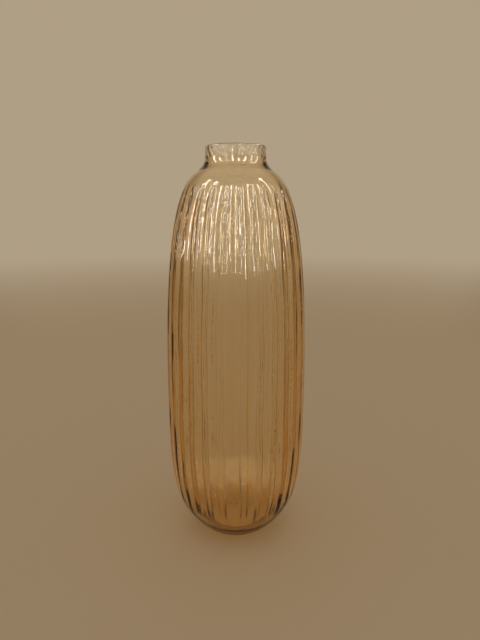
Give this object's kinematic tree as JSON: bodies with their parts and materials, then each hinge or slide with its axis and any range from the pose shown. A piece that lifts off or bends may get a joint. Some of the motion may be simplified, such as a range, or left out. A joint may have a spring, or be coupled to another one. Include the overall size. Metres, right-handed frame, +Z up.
{
  "type": "vase",
  "caption": "Tall free-standing glass vase with a ribbed, rounded body, a smooth shoulder, a short straight collar and a thick clear foot.",
  "frame": {"origin": "middle of the face that the vase rests on", "axes": "+Z up along the vase's axis, towards the mouth; the vase is round, so X and Y are free"},
  "size_m": [0.144, 0.1442, 0.4],
  "materials": {
    "amber_glass": "gloss, fire-polished, softly ribbed",
    "pale_amber_glass": "gloss, fire-polished",
    "clear_glass": "gloss, ground and polished underneath"
  },
  "bodies": {
    "root": {"ribbed_body": "amber_glass", "collar": "pale_amber_glass", "foot": "clear_glass"}
  },
  "joints": []
}
